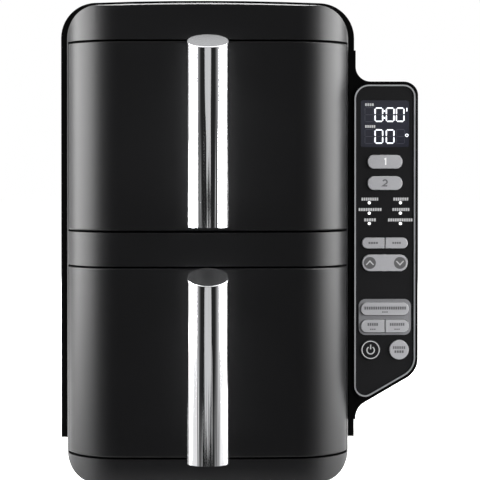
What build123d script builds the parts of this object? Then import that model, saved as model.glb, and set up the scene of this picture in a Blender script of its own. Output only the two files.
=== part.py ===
from build123d import *
import math
import os

# Stand-up sizes of the front, in millimetres
foot_drop = 2.0
base_height = 19.0
drawer_height = 148.5
middle_band = 26.4
top_band = 28.9
seam = 1.4

# Plan shape of the front: a slight bow with large rounded upright edges
front_width = 227.0
front_bow = 3.0
front_corner = 45.0
front_depth = 55.0
front_wall = 3.0
front_bevel = 1.5
front_bevel_depth = 6.0
crown = 3.0
top_corner = 27.0
base_corner = 23.0

# Housing, rear cover and base
housing_step = 5.75
housing_top_step = 6.35
housing_corner = 28.75
housing_wall = 2.5
housing_lap = 4.0
housing_rise = 9.0
rear_gap = 11.0
rear_cover_depth = 10.0
rear_edge_round = 6.0
tray_wall = 3.0
tray_rise = 3.0
foot_diameter = 18.0
foot_seat = 2.0
foot_edge_round = 0.8
foot_side_inset = 35.5
foot_front_inset = 42.0
foot_back_inset = 37.0

# Drawer fronts and pans
drawer_front_depth = 32.0
drawer_edge_round = 1.2
backplate_thickness = 3.0
side_rail = 9.5
opening_lip = 4.0
pan_length = 245.0
pan_headroom = 25.5
pan_wall = 1.2
pan_corner = 14.0
pan_floor_round = 8.0
pan_rim = 5.0
pan_clearance = 1.0

# Crisper plates
crisper_height = 12.0
crisper_thickness = 1.5
crisper_gap = 2.0
crisper_hole = 8.0
crisper_pitch = 18.0
crisper_lift_hole = 26.0
crisper_foot_diameter = 12.0
crisper_foot_inset = 18.0

# Handles
handle_diameter = 32.0
handle_axis = 50.0
handle_low = 5.1
handle_top_drop = 3.1
handle_slant = 20.7
handle_wall = 2.0
handle_edge_round = 1.0
handle_plug_recess = 1.0
post_width = 14.0
post_height = 16.0
post_low = 10.0
post_top_gap = 10.5
post_round = 4.0
handle_screw = 4.0
handle_screw_head = 8.0
handle_screw_head_height = 3.0
handle_screw_depth = 11.0

# Cooking chambers and what is in them
liner_wall = 0.6
liner_flange = 5.0
fan_space = 42.0
rail_height = 8.0
guard_gap = 6.0
guard_thickness = 1.0
guard_hole = 7.0
guard_margin = 5.0
guard_ring_pitch = 12.0
guard_ring_holes = 6
heater_wall_gap = 5.0
heater_tube = 6.5
heater_front_gap = 15.0
heater_bend = 8.0
heater_gap_angle = 30.0
heater_lead = 14.0
sensor_diameter = 4.0
sensor_flange = 10.0
sensor_flange_thickness = 2.0
sensor_inside = 17.0
sensor_outside = 10.0
sensor_side_inset = 28.0
sensor_top_inset = 22.25
switch_depth = 8.0
switch_length = 20.0
switch_height = 10.0
switch_setback = 15.0
switch_nub = 3.0

# Fans and motors
shaft_diameter = 6.0
shaft_passage = 14.0
bracket_size = 70.0
bracket_thickness = 2.0
can_diameter = 62.0
can_length = 34.0
can_wall = 3.0
stator_bore = 41.0
stator_length = 16.0
rotor_diameter = 40.0
rotor_length = 18.0
bearing_diameter = 14.0
bearing_length = 6.0
impeller_tip_gap = 3.75
impeller_hub = 20.0
impeller_blade_root = 16.0
impeller_blades = 10
impeller_plate = 1.2
impeller_depth = 17.0
impeller_back_gap = 13.0
cooling_diameter = 76.0
cooling_hub = 18.0
cooling_blades = 7
cooling_blade_thickness = 1.5
cooling_blade_pitch = 35.0
cooling_depth = 14.0
cooling_gap = 3.0

# Boards, cord gland and rear screws
board_thickness = 1.6
power_board_width = 110.0
power_board_depth = 46.0
power_board_gap = 6.0
power_board_rise = 8.0
power_post_diameter = 7.0
power_post_inset = 6.0
capacitor_diameter = 16.0
capacitor_height = 22.0
relay_width = 28.0
relay_height = 16.0
gland_bore = 8.0
gland_diameter = 14.0
gland_flange = 20.0
gland_flange_thickness = 3.0
gland_length = 15.0
gland_side_inset = 39.25
gland_rise = 32.0
vent_slot = 3.0
vent_height = 64.0
vent_pitch = 7.5
vent_count = 13
cover_screw = 3.5
cover_screw_head = 7.0
cover_screw_head_height = 2.0
cover_screw_length = 14.0
cover_boss = 9.0
cover_boss_length = 18.0
cover_screw_low_inset = 28.0
cover_screw_top_inset = 45.0

# Control wing on the right-hand side
wing_reach = 50.85
wing_height = 234.2
wing_rise = 11.55
wing_slant = 30.0
wing_ahead = 14.4
wing_edge_depth = 33.4
wing_root_length = 57.0
wing_shell = 3.0
wing_top_round = 12.0
wing_low_round = 19.4
wing_root_top_round = 12.0
wing_root_low_round = 14.6
wing_front_round = 2.5
wing_back_round = 10.0
root_top_margin = 13.0
root_low_margin = 1.0
pocket_depth = 14.0
ledge_width = 2.5
wire_hole = 14.0

# Panel trim, face and what sits in it
panel_proud = 0.6
panel_thickness = 3.0
trim_proud = 0.6
trim_inset = 2.6
trim_width = 1.1
trim_overhang = 0.95
trim_left_top_round = 11.7
trim_left_low_round = 8.7
display_drop = 15.1
display_width = 39.5
display_height = 38.0
display_round = 2.5
display_lap = 1.2
zone_key_gap = 6.2
zone_key_width = 28.0
zone_key_height = 11.0
zone_key_round = 5.2
lamp_drop = 10.4
lamp_pitch = 8.4
lamp_rows = 3
lamp_spread = 25.2
lamp_diameter = 2.4
lamp_proud = 0.2
mode_drop = 11.4
mode_key_height = 8.6
pill_width = 36.8
key_split = 0.8
rocker_drop = 5.1
rocker_height = 13.3
rocker_clearance = 0.6
rocker_tail = 0.5
rocker_pin = 3.0
rocker_pin_depth = 5.5
rocker_ear = 2.4
rocker_ear_width = 6.0
field_drop = 22.6
field_width = 42.2
field_height = 29.0
field_round = 5.5
field_thickness = 0.5
field_key_margin = 2.8
field_key_gap = 3.7
field_key_width = 38.6
field_key_height = 10.2
field_key_round = 4.6
round_key_drop = 12.0
round_key_spread = 23.0
round_key_diameter = 15.6
round_key_rise = 9.7
key_proud = 0.9
key_edge_round = 0.4
key_flange_width = 7.0
key_flange_lap = 1.1
key_flange_thickness = 1.0
key_stem = 4.0
key_travel = 1.0
tact_width = 6.0
tact_height = 1.6
board_gap = 7.5
board_post = 4.0

# Clearances
slip = 0.2
seat = 0.15
key_clearance = 0.3
running = 0.05
over = 1.0

# Heights up the front
base_top = foot_drop + base_height
lower_z = base_top + seam
middle_low = lower_z + drawer_height + seam
middle_top = middle_low + middle_band
upper_z = middle_top + seam
top_low = upper_z + drawer_height + seam
front_top = top_low + top_band
drawers = {"lower": lower_z, "upper": upper_z}

# Half widths and depths
front_half = front_width / 2
housing_half = front_half + housing_step
housing_top = front_top + housing_top_step
housing_low = base_top + housing_rise
opening_half = front_half - side_rail
opening_height = drawer_height - 2 * opening_lip
pan_outer = 2 * (opening_half - pan_clearance - pan_rim)
pan_height = opening_height - pan_clearance - pan_headroom
pan_back = drawer_front_depth + pan_length + pan_rim

# Depths from the drawer back to the rear cover
guard_face = pan_back + guard_gap
guard_back = guard_face + guard_thickness
heater_face = guard_back + heater_front_gap
liner_back = guard_back + fan_space
impeller_back = liner_back - impeller_back_gap
can_front = liner_back + bracket_thickness
can_back = can_front + can_length
shaft_back = can_back + cooling_gap + cooling_depth
housing_back = shaft_back + rear_gap
body_depth = housing_back + rear_cover_depth
power_board_front = housing_back - tray_wall - power_board_gap - power_board_depth
gland_place = (gland_side_inset - housing_half, housing_low + gland_rise)

# Sizes that fill the round space at the back of a chamber
heater_radius = opening_height / 2 - heater_wall_gap - heater_tube / 2
impeller_diameter = 2 * (heater_radius - heater_tube / 2 - impeller_tip_gap)
guard_rings = int((opening_height / 2 - guard_margin - guard_hole / 2) // guard_ring_pitch)

# Control wing, set about the middle of the front's height
wing_right = housing_half + wing_reach
wing_top = (foot_drop + front_top) / 2 + wing_rise + wing_height / 2
wing_corner_height = wing_top - wing_height
wing_front = front_depth - wing_ahead
wing_outer_back = wing_front + wing_edge_depth
wing_root_back = front_depth + wing_root_length
panel_front = wing_front - panel_proud
slant_rise = math.tan(math.radians(wing_slant))
slant_length = 1 / math.cos(math.radians(wing_slant))
slant_root = wing_corner_height - wing_reach * slant_rise
root_top = wing_top + wing_root_top_round + root_top_margin
root_low = slant_root - wing_root_low_round * slant_rise - root_low_margin
trim_left = housing_half - trim_overhang
panel_middle = (trim_left + wing_right - trim_inset) / 2
panel_back = panel_front + panel_thickness
board_front = panel_back + board_gap
pocket_back = panel_front + pocket_depth

# Rows on the panel: the open gaps between them share out the height that the rows leave over
close_rows = display_height + 2 * (zone_key_gap + zone_key_height) + (lamp_rows - 1) * lamp_pitch
close_rows += mode_key_height + rocker_drop + rocker_height + field_height
close_rows += round_key_drop + round_key_diameter / 2
open_gaps = display_drop + lamp_drop + mode_drop + field_drop + round_key_rise
gap_share = (wing_height - close_rows) / open_gaps
display_z = wing_top - gap_share * display_drop - display_height / 2
zone_1_z = display_z - display_height / 2 - zone_key_gap - zone_key_height / 2
zone_2_z = zone_1_z - zone_key_height - zone_key_gap
lamp_top_z = zone_2_z - zone_key_height / 2 - gap_share * lamp_drop
mode_z = lamp_top_z - (lamp_rows - 1) * lamp_pitch - gap_share * mode_drop - mode_key_height / 2
rocker_z = mode_z - mode_key_height / 2 - rocker_drop - rocker_height / 2
field_z = rocker_z - rocker_height / 2 - gap_share * field_drop - field_height / 2
field_wide_z = field_z + field_height / 2 - field_key_margin - field_key_height / 2
field_pair_z = field_wide_z - field_key_height - field_key_gap
round_key_z = field_z - field_height / 2 - round_key_drop

# The part stands on the middle of the floor under its box
to_row = Pos((housing_half - wing_right) / 2, (handle_axis + handle_diameter / 2 - body_depth) / 2, 0)


def slab(x0, x1, y0, y1, z0, z1):
    middle = Pos((x0 + x1) / 2, (y0 + y1) / 2, (z0 + z1) / 2)
    return middle * Box(x1 - x0, y1 - y0, z1 - z0)


def upright(y):
    return Plane((0, y, 0), x_dir=(1, 0, 0), z_dir=(0, -1, 0))


def push_back(sketch, y0, y1):
    return extrude(upright(y0) * sketch, amount=y0 - y1)


def rod(diameter, x, z, y0, y1):
    return push_back(Pos(x, z) * Circle(diameter / 2), y0, y1)


def closed(*edges):
    outline = Curve() + list(edges)
    return make_face(outline.edges())


# The front is drawn in plan and in front view, and each piece of it is cut from the two
def front_plan(inset):
    half = front_half - inset
    start = front_bow + inset
    back = front_depth + (over if inset else 0)
    arc = ThreePointArc((-half, start), (0, inset), (half, start))
    rest = Polyline((half, start), (half, back), (-half, back), (-half, start))
    face = closed(arc, rest)
    return fillet(face.vertices().sort_by(Axis.Y)[:2], front_corner - inset)


def front_block(low, high, inset=0.0):
    return extrude(Pos(0, 0, low) * front_plan(inset), amount=high - low)


def outline(half, low, top, corner):
    shoulder = top - crown
    arc = ThreePointArc((-half, shoulder), (0, top), (half, shoulder))
    rest = Polyline((half, shoulder), (half, low), (-half, low), (-half, shoulder))
    face = closed(arc, rest)
    return fillet(face.vertices().sort_by(Axis.Y)[-2:], corner)


def front_face(inset):
    return outline(front_half - inset, foot_drop, front_top - inset, top_corner - inset)


def front_outline(inset, y0, y1):
    return push_back(front_face(inset), y0, y1)


def housing_outline(inset, low, y0, y1):
    return push_back(outline(housing_half - inset, low, housing_top - inset, housing_corner - inset), y0, y1)


def front_frame():
    ahead = front_face(front_bevel * (1 + over / front_bevel_depth))
    bevel = loft([upright(-over) * ahead, upright(front_bevel_depth) * front_face(0)], ruled=True)
    frame = front_block(base_top, front_top) & (bevel + front_outline(0, front_bevel_depth, front_depth))
    hollow = front_block(top_low + front_wall, front_top, front_wall)
    frame -= hollow & front_outline(front_wall, 0, front_depth + over)
    frame -= front_block(middle_low + front_wall, middle_top - front_wall, front_wall)
    wide = front_half + over
    for z in drawers.values():
        top = z + drawer_height
        frame -= slab(-wide, wide, -over, drawer_front_depth + seam, z - seam, top + seam)
        inside = (z + opening_lip, top - opening_lip)
        frame -= slab(-opening_half, opening_half, 0, front_depth + over, *inside)
    return frame


def cover_screw_places():
    side = housing_half - rear_edge_round - cover_screw_head / 2 - over
    low = housing_low + cover_screw_low_inset
    top = housing_top - cover_screw_top_inset
    return [(x, z) for x in (-side, side) for z in (low, (low + top) / 2, top)]


# The control wing's root is let into the housing's right side, flush with it
def housing_shell():
    shell = housing_outline(0, housing_low, front_depth, housing_back)
    inside_front = front_depth + housing_wall
    shell -= housing_outline(housing_wall, housing_low - over, inside_front, housing_back + over)
    shell -= front_outline(housing_lap, front_depth - over, front_depth + housing_wall + over)
    wall = housing_half - housing_wall
    shell -= slab(wall - slip, housing_half + over, front_depth - over, wing_root_back + slip,
                  root_low - slip, root_top + slip)
    for x, z in cover_screw_places():
        web = math.copysign(housing_half - housing_wall / 2, x)
        y = housing_back - cover_boss_length
        shell += rod(cover_boss, x, z, y, housing_back)
        shell += slab(min(x, web), max(x, web), y, housing_back, z - cover_boss / 4, z + cover_boss / 4)
        shell -= rod(cover_screw + 2 * running, x, z, y, housing_back + over)
    return shell


def rear_cover():
    cover = housing_outline(0, housing_low, housing_back, body_depth)
    back = cover.faces().sort_by(Axis.Y)[-1]
    rim = [e for e in back.edges() if e.center().Z > housing_low + over]
    cover = fillet(rim, rear_edge_round)
    inner = body_depth - housing_wall
    cover -= housing_outline(housing_wall, housing_low + housing_wall, housing_back - over, inner)
    for z in drawers.values():
        slots = GridLocations(vent_pitch, vent_pitch, vent_count, 1)
        field = Sketch() + [s * SlotOverall(vent_height, vent_slot, rotation=90) for s in slots]
        cover -= push_back(Pos(0, z + drawer_height / 2) * field, inner - over, body_depth + over)
    cover -= rod(gland_diameter + 2 * slip, *gland_place, inner - over, body_depth + over)
    for x, z in cover_screw_places():
        cover += rod(cover_boss, x, z, housing_back, body_depth - housing_wall / 2)
        cover -= rod(cover_screw + 2 * slip, x, z, housing_back - over, body_depth + over)
        head = body_depth - cover_screw_head_height
        cover -= rod(cover_screw_head + 2 * slip, x, z, head, body_depth + over)
    return cover


def cover_screws():
    screws = []
    for x, z in cover_screw_places():
        head = body_depth - cover_screw_head_height
        screw = rod(cover_screw_head, x, z, head, body_depth)
        screw += rod(cover_screw, x, z, head - cover_screw_length, head)
        screws.append(screw - slab(x - cover_screw, x + cover_screw, body_depth - over / 2, body_depth + over,
                                   z - over / 2, z + over / 2))
    return Compound(screws)


def foot_places():
    side = front_half - foot_side_inset
    return [(x, y) for x in (-side, side) for y in (foot_front_inset, housing_back - foot_back_inset)]


def tray_block(inset, y0, y1, low, high):
    side = front_half - inset
    floor = foot_drop + inset
    face = Pos(0, (floor + housing_top) / 2) * Rectangle(2 * side, housing_top - floor)
    face = fillet(face.vertices().sort_by(Axis.Y)[:2], base_corner - inset)
    return push_back(face, y0, y1) & slab(-front_half, front_half, y0, y1, low, high)


def base_tray():
    front = front_block(foot_drop, base_top) & tray_block(0, -over, front_depth, foot_drop, base_top)
    rim_top = housing_low + tray_rise
    rear = tray_block(0, front_depth, housing_back, foot_drop, rim_top)
    tray = front + rear
    wall = front_depth + housing_wall + slip
    rim_half = housing_half - housing_wall - slip
    tray += slab(-rim_half, rim_half, wall, housing_back, housing_low, rim_top)
    hollow = front_block(foot_drop + tray_wall, base_top - tray_wall, tray_wall)
    tray -= hollow & tray_block(tray_wall, 0, front_depth - tray_wall, foot_drop, base_top)
    tray -= tray_block(tray_wall, wall + tray_wall, housing_back - tray_wall, foot_drop, rim_top + over)
    tray -= slab(-housing_half, housing_half, front_depth - over, wall, base_top, rim_top + over)
    inner = front_half - tray_wall
    tray -= slab(-inner, inner, wall - over, wall + tray_wall + over, base_top, rim_top + over)
    floor = foot_drop + tray_wall
    for x, y in foot_places():
        tray += Pos(x, y, floor) * Cylinder(foot_diameter / 2 + tray_wall, 2 * tray_wall)
        seat_top = foot_drop + foot_seat
        tray -= Pos(x, y, seat_top / 2) * Cylinder(foot_diameter / 2 + slip, seat_top)
    for x, y in power_post_places():
        tray += Pos(x, y, floor + power_board_rise / 2) * Cylinder(power_post_diameter / 2, power_board_rise)
    return tray


def rubber_feet():
    height = foot_drop + foot_seat
    feet = []
    for x, y in foot_places():
        foot = Pos(x, y, height / 2) * Cylinder(foot_diameter / 2, height)
        feet.append(fillet(foot.edges().sort_by(Axis.Z)[0], foot_edge_round))
    return Compound(feet)


# One drawer: front, backplate, pan, handle and crisper
def drawer_front(z):
    top = z + drawer_height
    front = front_block(z, top) & slab(-front_half, front_half, -over, drawer_front_depth, z, top)
    rim = [e for e in front.edges() if e.center().Y < drawer_front_depth - over / 2]
    rim = [e for e in rim if abs(e.center().Z - z - drawer_height / 2) > drawer_height / 2 - over / 2]
    front = fillet(rim, drawer_edge_round)
    front -= front_block(z + front_wall, top - front_wall, front_wall)
    for post in post_heights(z):
        front -= rod(handle_screw + 2 * slip, 0, post, -over, front_wall + over)
    return front


def drawer_backplate(z):
    inset = front_wall + slip
    plate = front_block(z + inset, z + drawer_height - inset, inset)
    return plate & slab(-front_half, front_half, drawer_front_depth - backplate_thickness, drawer_front_depth,
                        z, z + drawer_height)


def pan_bottom(z):
    return z + opening_lip + pan_clearance


def pan_plan(grow):
    middle = Pos(0, drawer_front_depth + pan_length / 2)
    return middle * RectangleRounded(pan_outer + 2 * grow, pan_length + 2 * grow, pan_corner + grow)


def drawer_pan(z):
    low = pan_bottom(z)
    pan = extrude(Pos(0, 0, low) * pan_plan(0), amount=pan_height)
    pan = fillet(pan.edges().group_by(Axis.Z)[0], pan_floor_round)
    rim = extrude(Pos(0, 0, low + pan_height - pan_wall) * pan_plan(pan_rim), amount=pan_wall)
    rim_half = pan_outer / 2 + pan_rim
    pan += rim & slab(-rim_half, rim_half, drawer_front_depth, pan_back, low, low + pan_height)
    inside = extrude(Pos(0, 0, low + pan_wall) * pan_plan(-pan_wall), amount=pan_height)
    return pan - fillet(inside.edges().group_by(Axis.Z)[0], pan_floor_round - pan_wall)


def crisper_low(z):
    return pan_bottom(z) + pan_wall + crisper_height


def crisper_plate(z):
    plan = pan_plan(-pan_wall - crisper_gap)
    middle = drawer_front_depth + pan_length / 2
    across = pan_outer - 2 * (pan_wall + crisper_gap + crisper_pitch / 2)
    along = pan_length - 2 * (pan_wall + crisper_gap + crisper_pitch / 2)
    columns = int(across // crisper_pitch)
    rows = int(along // crisper_pitch)
    grid = GridLocations(crisper_pitch, crisper_pitch, columns, rows)
    clear = (crisper_lift_hole + crisper_hole) / 2 + crisper_thickness
    holes = [Pos(0, middle) * p for p in grid if p.position.length > clear]
    plan -= [p * Circle(crisper_hole / 2) for p in holes]
    plan -= Pos(0, middle) * Circle(crisper_lift_hole / 2)
    return extrude(Pos(0, 0, crisper_low(z)) * plan, amount=crisper_thickness)


def crisper_feet(z):
    x = pan_outer / 2 - pan_wall - crisper_foot_inset
    y = pan_length / 2 - pan_wall - crisper_foot_inset
    low = crisper_low(z) - crisper_height
    corners = GridLocations(2 * x, 2 * y, 2, 2)
    foot = Pos(0, drawer_front_depth + pan_length / 2, low + crisper_height / 2)
    return Compound([foot * c * Cylinder(crisper_foot_diameter / 2, crisper_height) for c in corners])


def post_heights(z):
    return [z + post_low + post_height / 2, z + drawer_height - post_top_gap - post_height / 2]


def handle_body(z, inset, low):
    axis = Pos(0, -handle_axis, 0)
    tall = z + drawer_height + handle_diameter
    body = axis * Pos(0, 0, (low + tall) / 2) * Cylinder(handle_diameter / 2 - inset, tall - low)
    lean = math.radians(handle_slant)
    normal = Vector(0, -math.sin(lean), math.cos(lean))
    point = Vector(0, -handle_axis, z + drawer_height - handle_top_drop) - normal * inset
    return split(body, bisect_by=Plane(point, z_dir=normal), keep=Keep.BOTTOM)


def handle_sleeve(z):
    low = z + handle_low
    sleeve = handle_body(z, 0, low)
    sleeve = fillet(sleeve.faces().sort_by(Axis.Z)[-1].edges(), handle_edge_round)
    sleeve -= handle_body(z, handle_wall, low - over)
    half = post_width / 2 + slip
    slot_top = z + drawer_height - post_top_gap + slip
    return sleeve - slab(-half, half, -handle_axis, 0, low - over, slot_top)


def handle_core(z):
    core = handle_body(z, handle_wall + seat, z + handle_low + handle_plug_recess)
    for post in post_heights(z):
        section = Pos(0, post) * RectangleRounded(post_width, post_height, post_round)
        core += push_back(section, -handle_axis, 0)
        core -= rod(handle_screw + 2 * running, 0, post, -handle_screw_depth - over, over)
    return core


def handle_screws(z):
    screws = []
    for post in post_heights(z):
        head = front_wall + running
        screw = rod(handle_screw, 0, post, -handle_screw_depth, head)
        screws.append(screw + rod(handle_screw_head, 0, post, head, head + handle_screw_head_height))
    return Compound(screws)


# Cooking chamber, with its rails, guard, heater, sensor and drawer switch
def fan_height(z):
    return z + drawer_height / 2


def chamber_liner(z):
    low = z + opening_lip
    top = z + drawer_height - opening_lip
    outer = opening_half + liner_wall
    liner = slab(-outer, outer, front_depth, liner_back, low - liner_wall, top + liner_wall)
    lap = opening_half + liner_flange
    liner += slab(-lap, lap, front_depth, front_depth + liner_wall, low - liner_flange, top + liner_flange)
    liner -= slab(-opening_half, opening_half, front_depth - over, liner_back - liner_wall, low, top)
    ends = (liner_back - liner_wall - over, liner_back + over)
    liner -= rod(shaft_passage, 0, fan_height(z), *ends)
    liner -= rod(sensor_diameter + 2 * slip, *sensor_place(z), *ends)
    for x, lead in heater_lead_places(z):
        liner -= rod(heater_tube + 2 * slip, x, lead, *ends)
    y, rim = switch_place(z)
    nub = Pos(-opening_half, y, rim) * Rot(0, 90, 0)
    return liner - nub * Cylinder(switch_nub / 2 + slip, 2 * liner_wall + over)


def rail_top(z):
    return pan_bottom(z) + pan_height - pan_wall - seat


def drawer_rails():
    rails = []
    for z in drawers.values():
        inner = opening_half - pan_rim
        for x0, x1 in ((-opening_half, -inner), (inner, opening_half)):
            rails.append(slab(x0, x1, front_depth + over, pan_back, rail_top(z) - rail_height, rail_top(z)))
    return Compound(rails)


def fan_guard(z):
    low = z + opening_lip + seat
    top = z + drawer_height - opening_lip - seat
    plate = slab(-opening_half + seat, opening_half - seat, guard_face, guard_back, low, top)
    holes = []
    for ring in range(1, guard_rings + 1):
        places = PolarLocations(ring * guard_ring_pitch, ring * guard_ring_holes)
        holes += [Pos(0, fan_height(z)) * p * Circle(guard_hole / 2) for p in places]
    field = Sketch() + holes
    return plate - push_back(field, guard_face - over, guard_back + over)


def heater_ends():
    half_gap = math.radians(heater_gap_angle / 2)
    return [-math.pi / 2 + half_gap, 1.5 * math.pi - half_gap]


def heater_lead_places(z):
    places = []
    for angle, sign in zip(heater_ends(), (-1, 1)):
        tangent = Vector(-math.sin(angle), math.cos(angle)) * sign
        point = Vector(math.cos(angle), math.sin(angle)) * heater_radius + tangent * heater_bend
        places.append((point.X, point.Y + fan_height(z)))
    return places


def heating_element(z):
    start, end = heater_ends()
    ring_middle = Vector(0, heater_face, fan_height(z))
    place = lambda a: ring_middle + Vector(heater_radius * math.cos(a), 0, heater_radius * math.sin(a))
    ring = ThreePointArc(place(start), place((start + end) / 2), place(end))
    pieces = [ring]
    back = Vector(0, 1, 0)
    for angle, sign, lead in zip((start, end), (-1, 1), heater_lead_places(z)):
        tangent = Vector(-math.sin(angle), 0, math.cos(angle)) * sign
        centre = place(angle) + back * heater_bend
        turn = centre + (tangent - back).normalized() * heater_bend
        foot = centre + tangent * heater_bend
        pieces.append(ThreePointArc(place(angle), turn, foot))
        pieces.append(Line(foot, Vector(lead[0], liner_back + heater_lead, lead[1])))
    path = Wire(Curve(pieces).edges())
    section = Plane(path @ 0, z_dir=path % 0) * Circle(heater_tube / 2)
    return sweep(section, path=path)


def sensor_place(z):
    return opening_half - sensor_side_inset, z + drawer_height - opening_lip - sensor_top_inset


def temperature_sensor(z):
    side, height = sensor_place(z)
    probe = rod(sensor_diameter, side, height, liner_back - sensor_inside, liner_back + sensor_outside)
    return probe + rod(sensor_flange, side, height, liner_back, liner_back + sensor_flange_thickness)


def switch_place(z):
    y = front_depth + switch_setback + switch_length / 2
    return y, pan_bottom(z) + pan_height - pan_wall + switch_nub / 2


def drawer_switch(z):
    y, height = switch_place(z)
    outer = opening_half + liner_wall
    box = slab(-outer - switch_depth, -outer, y - switch_length / 2, y + switch_length / 2,
               height - switch_height / 2, height + switch_height / 2)
    reach = outer - pan_outer / 2 - pan_rim - key_clearance
    return box + Pos(-outer + reach / 2, y, height) * Rot(0, 90, 0) * Cylinder(switch_nub / 2, reach)


# Fan unit: bracket, motor can, stator, bearings and the turning shaft with its two fans
def motor_bracket(z):
    plate = Pos(0, fan_height(z)) * RectangleRounded(bracket_size, bracket_size, bracket_thickness)
    plate -= Pos(0, fan_height(z)) * Circle(shaft_passage / 2)
    return push_back(plate, liner_back, can_front)


def motor_can(z):
    height = fan_height(z)
    can = rod(can_diameter, 0, height, can_front, can_back)
    can -= rod(can_diameter - 2 * can_wall, 0, height, can_front + can_wall, can_back - can_wall)
    return can - rod(bearing_diameter, 0, height, can_front - over, can_back + over)


def motor_stator(z):
    height = fan_height(z)
    middle = (can_front + can_back) / 2
    ends = (middle - stator_length / 2, middle + stator_length / 2)
    ring = rod(can_diameter - 2 * can_wall - 2 * running, 0, height, *ends)
    return ring - rod(stator_bore, 0, height, ends[0] - over, ends[1] + over)


def motor_bearing_pair(z):
    height = fan_height(z)
    pair = []
    for y0 in (can_front, can_back - bearing_length):
        ring = rod(bearing_diameter - 2 * running, 0, height, y0, y0 + bearing_length)
        bore = rod(shaft_diameter + 2 * running, 0, height, y0 - over, y0 + bearing_length + over)
        pair.append(ring - bore)
    return pair


def motor_shaft(z):
    height = fan_height(z)
    shaft = rod(shaft_diameter, 0, height, impeller_back - impeller_depth, shaft_back)
    middle = (can_front + can_back) / 2
    return shaft + rod(rotor_diameter, 0, height, middle - rotor_length / 2, middle + rotor_length / 2)


def fan_impeller(z):
    height = fan_height(z)
    front = impeller_back - impeller_depth
    fan = rod(impeller_diameter, 0, height, impeller_back - impeller_plate, impeller_back)
    fan += rod(impeller_hub, 0, height, front, impeller_back)
    reach = (impeller_diameter - impeller_blade_root) / 2
    blade = Pos((impeller_diameter + impeller_blade_root) / 4, 0) * Rectangle(reach, impeller_plate)
    blades = Sketch() + [p * blade for p in PolarLocations(0, impeller_blades)]
    fan += push_back(Pos(0, height) * blades, front + impeller_plate, impeller_back)
    fan &= rod(impeller_diameter, 0, height, front, impeller_back)
    return fan - rod(shaft_diameter + 2 * running, 0, height, front - over, impeller_back + over)


def cooling_fan(z):
    height = fan_height(z)
    front = can_back + cooling_gap
    hub = rod(cooling_hub, 0, height, front, shaft_back)
    reach = (cooling_diameter - cooling_hub) / 2 + cooling_hub / 4
    chord = cooling_depth - cooling_gap
    middle = Pos(0, (front + shaft_back) / 2, height)
    fan = hub
    for i in range(cooling_blades):
        turn = Rot(0, 360 / cooling_blades * i, 0)
        blade = Box(reach, chord, cooling_blade_thickness)
        out = Pos(cooling_diameter / 2 - reach / 2, 0, 0)
        fan += middle * turn * out * Rot(cooling_blade_pitch, 0, 0) * blade
    fan &= rod(cooling_diameter, 0, height, front, shaft_back)
    return fan - rod(shaft_diameter + 2 * running, 0, height, front - over, shaft_back + over)


# Power board on posts in the base, and the gland for the mains lead
def power_post_places():
    x = power_board_width / 2 - power_post_inset
    front = power_board_front + power_post_inset
    back = power_board_front + power_board_depth - power_post_inset
    return [(sx, y) for sx in (-x, x) for y in (front, back)]


def power_board():
    low = foot_drop + tray_wall + power_board_rise
    top = low + board_thickness
    back = power_board_front + power_board_depth
    half = power_board_width / 2
    board = slab(-half, half, power_board_front, back, low, top)
    middle = (power_board_front + back) / 2
    for x in (-half / 2, -half / 2 + capacitor_diameter + over):
        place = Pos(x, middle, top + capacitor_height / 2)
        board += place * Cylinder(capacitor_diameter / 2, capacitor_height)
    return board + Pos(half / 2, middle, top + relay_height / 2) * Box(relay_width, relay_width, relay_height)


def cord_gland():
    inner = body_depth - housing_wall
    gland = rod(gland_diameter, *gland_place, body_depth - gland_length, body_depth)
    gland += rod(gland_flange, *gland_place, inner - gland_flange_thickness, inner)
    bore = (body_depth - gland_length - over, body_depth + over)
    return gland - rod(gland_bore, *gland_place, *bore)


# Control wing: a tub with a root let into the housing
def wing_slant_line(x, inset):
    return wing_corner_height + inset * slant_length - (wing_right - x) * slant_rise


def wing_face():
    left = front_half + key_clearance
    points = [
        (left, root_low), (housing_half, root_low), (housing_half, slant_root),
        (wing_right, wing_corner_height), (wing_right, wing_top), (housing_half, wing_top),
        (housing_half, root_top), (left, root_top),
    ]
    rounds = {2: wing_root_low_round, 3: wing_low_round, 4: wing_top_round, 5: wing_root_top_round}
    face = make_face(Polyline(*points, close=True).edges())
    for index, radius in rounds.items():
        corner = face.vertices().sort_by_distance((*points[index], 0))[0]
        face = fillet(corner, radius)
    return face


def wing_plan(inset):
    left = front_half - over
    right = wing_right - inset
    points = [
        (left, wing_front), (right, wing_front), (right, wing_outer_back - inset),
        (housing_half, wing_root_back - inset), (left, wing_root_back - inset),
    ]
    face = make_face(Polyline(*points, close=True).edges())
    for index, radius in {1: wing_front_round, 2: wing_back_round - inset}.items():
        corner = face.vertices().sort_by_distance((*points[index], 0))[0]
        face = fillet(corner, radius)
    return extrude(face, amount=housing_top)


def panel_profile(inset):
    left = trim_left + inset - trim_inset
    right = wing_right - inset
    top = wing_top - inset
    grow = inset - trim_inset
    points = [
        (left, wing_slant_line(left, inset)), (right, wing_slant_line(right, inset)),
        (right, top), (left, top),
    ]
    rounds = [trim_left_low_round - grow, wing_low_round - inset]
    rounds += [wing_top_round - inset, trim_left_top_round - grow]
    face = make_face(Polyline(*points, close=True).edges())
    for point, radius in zip(points, rounds):
        corner = face.vertices().sort_by_distance((*point, 0))[0]
        face = fillet(corner, radius)
    return face


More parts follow.
